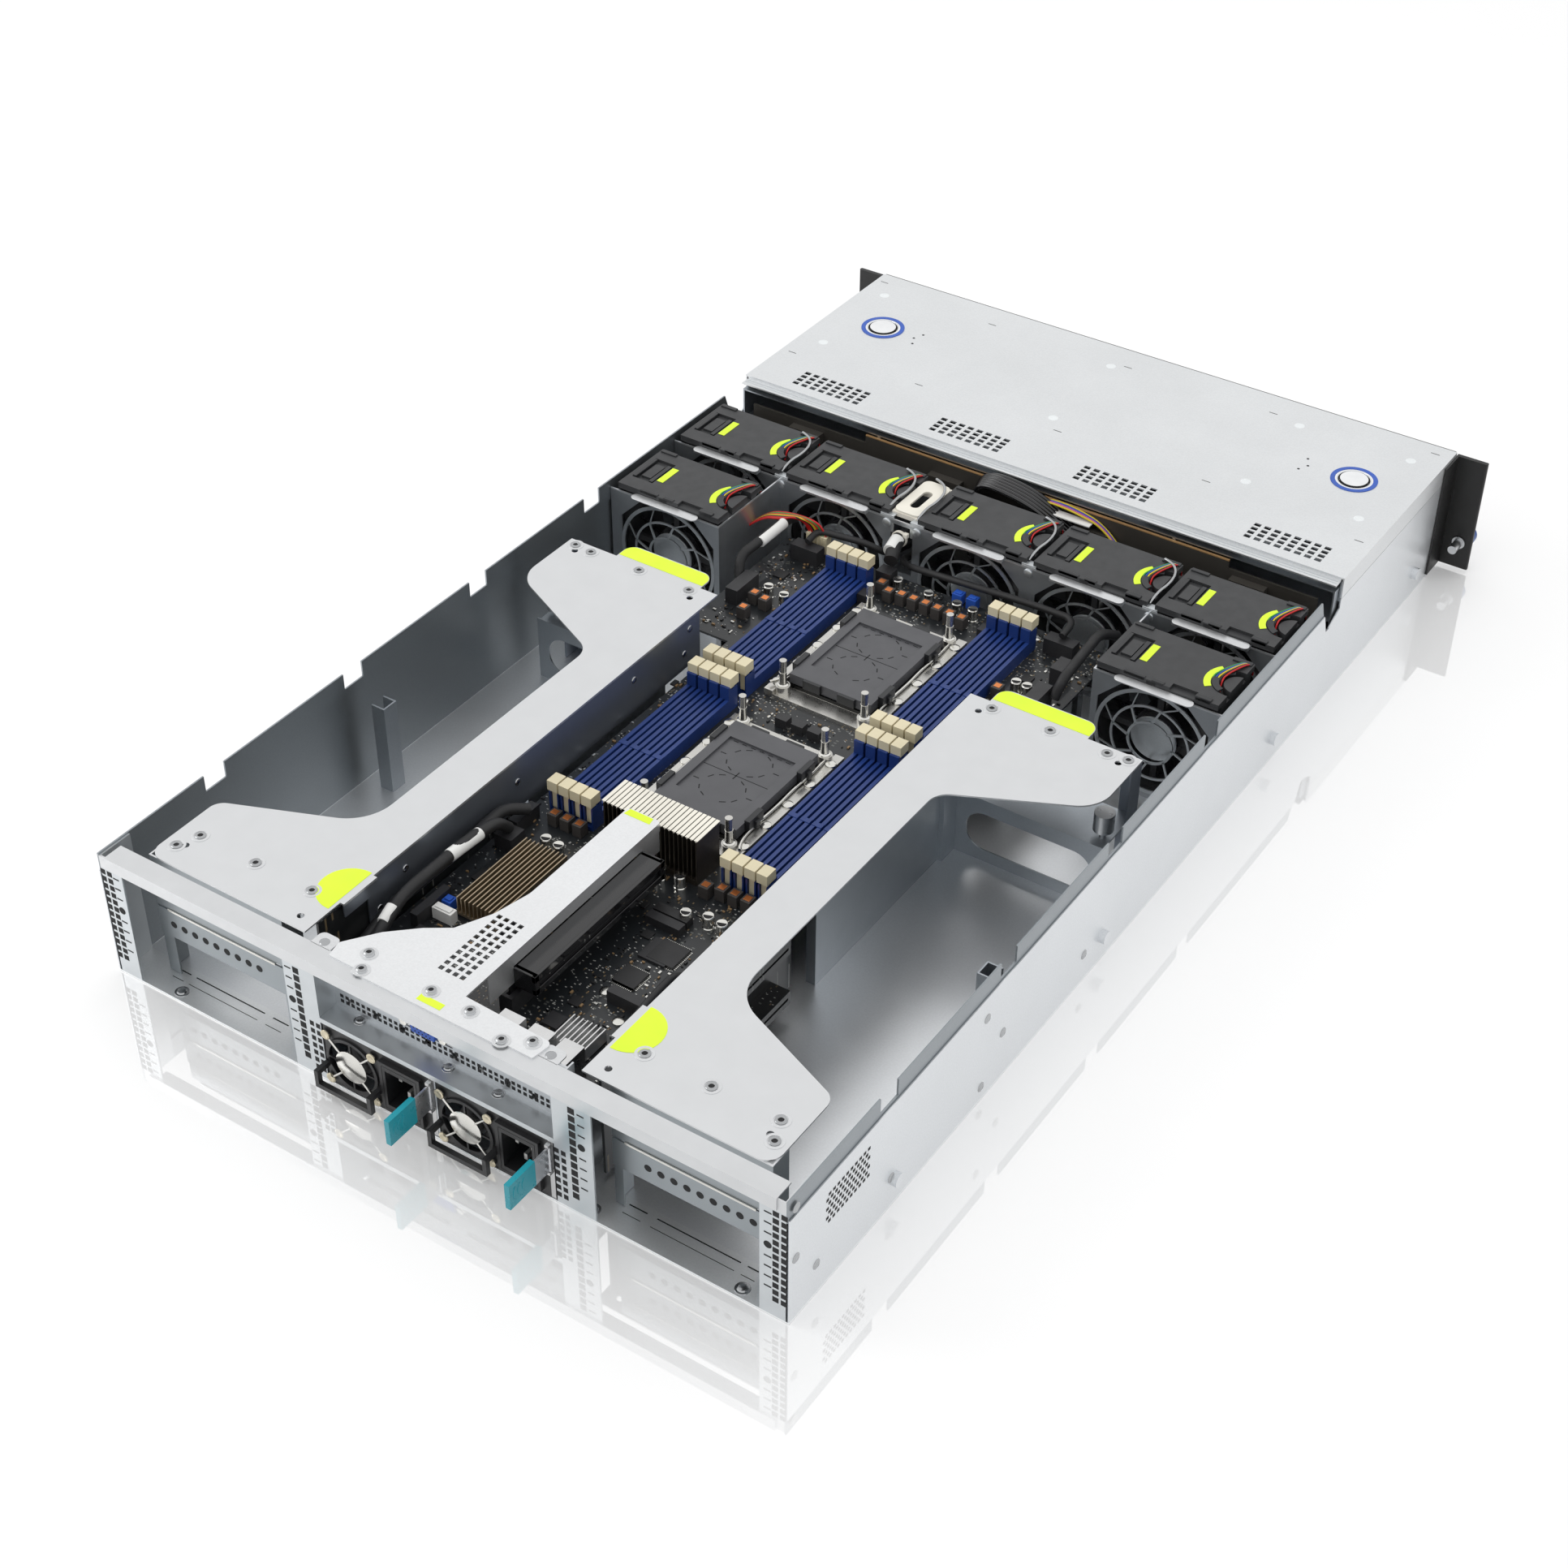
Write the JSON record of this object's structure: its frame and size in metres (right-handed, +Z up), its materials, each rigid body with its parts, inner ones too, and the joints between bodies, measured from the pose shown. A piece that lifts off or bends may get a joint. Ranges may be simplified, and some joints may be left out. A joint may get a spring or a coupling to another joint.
{
  "type": "rack server",
  "caption": "Flat rack-mounted computer with its lid off, showing fans, a mainboard, lift-out card cages, power supplies and drive trays.",
  "frame": {"origin": "on the underside, on the middle plane of the side walls, between the front and the rear", "axes": "+Z up, -Y towards the front with the rack ears, +Y towards the rear sockets, +X to the left in a view from the front"},
  "size_m": [0.4826, 0.8285, 0.0878],
  "materials": {
    "zinc_steel": "satin zinc-plated sheet",
    "black_steel": "black powder coat",
    "button_chrome": "polished",
    "screw_steel": "nickel-plated",
    "fan_plastic": "moulded, slight sheen",
    "rotor_plastic": "moulded",
    "circuit_board": "lacquered laminate",
    "slot_blue": "moulded",
    "latch_cream": "moulded",
    "socket_steel": "satin",
    "cover_plastic": "moulded",
    "board_parts": "anodised fins and moulded parts",
    "port_steel": "bright shell",
    "cable_jacket": "woven sleeve",
    "supply_metal": "satin casing",
    "supply_black": "moulded face and guard",
    "latch_teal": "moulded",
    "tray_black": "moulded"
  },
  "bodies": {
    "chassis": {"chassis_tray": "zinc_steel", "bay_frames": "zinc_steel", "board_standoffs": "screw_steel", "rear_frame": "zinc_steel", "front_top_panel": "zinc_steel", "drive_cage": "zinc_steel", "drive_backplane": "circuit_board", "rack_ears": "black_steel", "fan_partition": "zinc_steel", "motherboard": "circuit_board", "dimm_slots": "slot_blue", "cpu_sockets": "socket_steel", "board_parts": "board_parts", "rear_io_ports": "port_steel", "wiring_harness": "cable_jacket", "thumbscrews": "screw_steel"},
    "cage_left": {"gpu_cage_left": "zinc_steel", "riser_card_left": "circuit_board"},
    "cage_right": {"gpu_cage_right": "zinc_steel", "riser_card_right": "circuit_board"},
    "centre_riser": {"riser_bracket": "zinc_steel", "riser_slot": "circuit_board"},
    "fan_1": {"fan_module_1": "fan_plastic"},
    "fan_1_rotor": {"fan_rotor_1": "rotor_plastic"},
    "fan_2": {"fan_module_2": "fan_plastic"},
    "fan_2_rotor": {"fan_rotor_2": "rotor_plastic"},
    "fan_3": {"fan_module_3": "fan_plastic"},
    "fan_3_rotor": {"fan_rotor_3": "rotor_plastic"},
    "fan_4": {"fan_module_4": "fan_plastic"},
    "fan_4_rotor": {"fan_rotor_4": "rotor_plastic"},
    "fan_5": {"fan_module_5": "fan_plastic"},
    "fan_5_rotor": {"fan_rotor_5": "rotor_plastic"},
    "fan_6": {"fan_module_6": "fan_plastic"},
    "fan_6_rotor": {"fan_rotor_6": "rotor_plastic"},
    "fan_7": {"fan_module_7": "fan_plastic"},
    "fan_7_rotor": {"fan_rotor_7": "rotor_plastic"},
    "latches_1": {"dimm_latches_1": "latch_cream"},
    "latches_2": {"dimm_latches_2": "latch_cream"},
    "latches_3": {"dimm_latches_3": "latch_cream"},
    "latches_4": {"dimm_latches_4": "latch_cream"},
    "cpu_cover_front_body": {"cpu_cover_front": "cover_plastic"},
    "cpu_cover_rear_body": {"cpu_cover_rear": "cover_plastic"},
    "button_left": {"latch_button_left": "button_chrome"},
    "button_right": {"latch_button_right": "button_chrome"},
    "supply_left": {"psu_casing_left": "supply_metal", "psu_face_left": "supply_black"},
    "supply_left_rotor": {"psu_rotor_left": "rotor_plastic"},
    "supply_left_lever": {"psu_latch_left": "latch_teal"},
    "supply_right": {"psu_casing_right": "supply_metal", "psu_face_right": "supply_black"},
    "supply_right_rotor": {"psu_rotor_right": "rotor_plastic"},
    "supply_right_lever": {"psu_latch_right": "latch_teal"},
    "tray_1": {"drive_tray_1": "tray_black"},
    "tray_2": {"drive_tray_2": "tray_black"},
    "tray_3": {"drive_tray_3": "tray_black"},
    "tray_4": {"drive_tray_4": "tray_black"},
    "tray_5": {"drive_tray_5": "tray_black"},
    "tray_6": {"drive_tray_6": "tray_black"},
    "tray_7": {"drive_tray_7": "tray_black"},
    "tray_8": {"drive_tray_8": "tray_black"}
  },
  "joints": [
    {"name": "cage_left_lift", "type": "slide", "parent": "chassis", "child": "cage_left", "axis": [0, 0, 1], "range_m": [0, 0.1]},
    {"name": "cage_right_lift", "type": "slide", "parent": "chassis", "child": "cage_right", "axis": [0, 0, 1], "range_m": [0, 0.1]},
    {"name": "centre_riser_lift", "type": "slide", "parent": "chassis", "child": "centre_riser", "axis": [0, 0, 1], "range_m": [0, 0.1]},
    {"name": "fan_1_lift", "type": "slide", "parent": "chassis", "child": "fan_1", "axis": [0, 0, 1], "range_m": [0, 0.095]},
    {"name": "fan_1_spin", "type": "hinge", "parent": "fan_1", "child": "fan_1_rotor", "pos_m": [0.1745, -0.152, 0.041], "axis": [0, 1, 0], "continuous": true},
    {"name": "fan_2_lift", "type": "slide", "parent": "chassis", "child": "fan_2", "axis": [0, 0, 1], "range_m": [0, 0.095]},
    {"name": "fan_2_spin", "type": "hinge", "parent": "fan_2", "child": "fan_2_rotor", "pos_m": [0.091, -0.152, 0.041], "axis": [0, 1, 0], "continuous": true},
    {"name": "fan_3_lift", "type": "slide", "parent": "chassis", "child": "fan_3", "axis": [0, 0, 1], "range_m": [0, 0.095]},
    {"name": "fan_3_spin", "type": "hinge", "parent": "fan_3", "child": "fan_3_rotor", "pos_m": [-0.0084, -0.152, 0.041], "axis": [0, 1, 0], "continuous": true},
    {"name": "fan_4_lift", "type": "slide", "parent": "chassis", "child": "fan_4", "axis": [0, 0, 1], "range_m": [0, 0.095]},
    {"name": "fan_4_spin", "type": "hinge", "parent": "fan_4", "child": "fan_4_rotor", "pos_m": [-0.0916, -0.152, 0.041], "axis": [0, 1, 0], "continuous": true},
    {"name": "fan_5_lift", "type": "slide", "parent": "chassis", "child": "fan_5", "axis": [0, 0, 1], "range_m": [0, 0.095]},
    {"name": "fan_5_spin", "type": "hinge", "parent": "fan_5", "child": "fan_5_rotor", "pos_m": [-0.175, -0.152, 0.041], "axis": [0, 1, 0], "continuous": true},
    {"name": "fan_6_lift", "type": "slide", "parent": "chassis", "child": "fan_6", "axis": [0, 0, 1], "range_m": [0, 0.095]},
    {"name": "fan_6_spin", "type": "hinge", "parent": "fan_6", "child": "fan_6_rotor", "pos_m": [0.1735, -0.082, 0.041], "axis": [0, 1, 0], "continuous": true},
    {"name": "fan_7_lift", "type": "slide", "parent": "chassis", "child": "fan_7", "axis": [0, 0, 1], "range_m": [0, 0.095]},
    {"name": "fan_7_spin", "type": "hinge", "parent": "fan_7", "child": "fan_7_rotor", "pos_m": [-0.1735, -0.082, 0.041], "axis": [0, 1, 0], "continuous": true},
    {"name": "latches_1_tilt", "type": "hinge", "parent": "chassis", "child": "latches_1", "pos_m": [0, -0.0896, 0.0535], "axis": [1, 0, 0], "range_deg": [0, 28]},
    {"name": "latches_2_tilt", "type": "hinge", "parent": "chassis", "child": "latches_2", "pos_m": [0, 0.0448, 0.0535], "axis": [-1, 0, 0], "range_deg": [0, 9]},
    {"name": "latches_3_tilt", "type": "hinge", "parent": "chassis", "child": "latches_3", "pos_m": [0, 0.0602, 0.0535], "axis": [1, 0, 0], "range_deg": [0, 9]},
    {"name": "latches_4_tilt", "type": "hinge", "parent": "chassis", "child": "latches_4", "pos_m": [0, 0.1946, 0.0535], "axis": [-1, 0, 0], "range_deg": [0, 28]},
    {"name": "cpu_cover_front_lift", "type": "slide", "parent": "chassis", "child": "cpu_cover_front_body", "axis": [0, 0, 1], "range_m": [0, 0.03]},
    {"name": "cpu_cover_rear_lift", "type": "slide", "parent": "chassis", "child": "cpu_cover_rear_body", "axis": [0, 0, 1], "range_m": [0, 0.03]},
    {"name": "button_left_press", "type": "slide", "parent": "chassis", "child": "button_left", "axis": [0, 0, -1], "range_m": [0, 0.003], "stiffness_N_per_m": 400},
    {"name": "button_right_press", "type": "slide", "parent": "chassis", "child": "button_right", "axis": [0, 0, -1], "range_m": [0, 0.003], "stiffness_N_per_m": 400},
    {"name": "supply_left_pull", "type": "slide", "parent": "chassis", "child": "supply_left", "axis": [0, 1, 0], "range_m": [0, 0.18]},
    {"name": "supply_left_spin", "type": "hinge", "parent": "supply_left", "child": "supply_left_rotor", "pos_m": [0.0497, 0.382, 0.0206], "axis": [0, 1, 0], "continuous": true},
    {"name": "supply_left_release", "type": "hinge", "parent": "supply_left", "child": "supply_left_lever", "pos_m": [-0.0041, 0.3931, 0.03075], "axis": [0, 0, -1], "range_deg": [0, 8], "stiffness_Nm_per_rad": 0.5},
    {"name": "supply_right_pull", "type": "slide", "parent": "chassis", "child": "supply_right", "axis": [0, 1, 0], "range_m": [0, 0.18]},
    {"name": "supply_right_spin", "type": "hinge", "parent": "supply_right", "child": "supply_right_rotor", "pos_m": [-0.0257, 0.382, 0.0206], "axis": [0, 1, 0], "continuous": true},
    {"name": "supply_right_release", "type": "hinge", "parent": "supply_right", "child": "supply_right_lever", "pos_m": [-0.0795, 0.3931, 0.03075], "axis": [0, 0, -1], "range_deg": [0, 8], "stiffness_Nm_per_rad": 0.5},
    {"name": "tray_1_pull", "type": "slide", "parent": "chassis", "child": "tray_1", "axis": [0, -1, 0], "range_m": [0, 0.15]},
    {"name": "tray_2_pull", "type": "slide", "parent": "chassis", "child": "tray_2", "axis": [0, -1, 0], "range_m": [0, 0.15]},
    {"name": "tray_3_pull", "type": "slide", "parent": "chassis", "child": "tray_3", "axis": [0, -1, 0], "range_m": [0, 0.15]},
    {"name": "tray_4_pull", "type": "slide", "parent": "chassis", "child": "tray_4", "axis": [0, -1, 0], "range_m": [0, 0.15]},
    {"name": "tray_5_pull", "type": "slide", "parent": "chassis", "child": "tray_5", "axis": [0, -1, 0], "range_m": [0, 0.15]},
    {"name": "tray_6_pull", "type": "slide", "parent": "chassis", "child": "tray_6", "axis": [0, -1, 0], "range_m": [0, 0.15]},
    {"name": "tray_7_pull", "type": "slide", "parent": "chassis", "child": "tray_7", "axis": [0, -1, 0], "range_m": [0, 0.15]},
    {"name": "tray_8_pull", "type": "slide", "parent": "chassis", "child": "tray_8", "axis": [0, -1, 0], "range_m": [0, 0.15]}
  ]
}
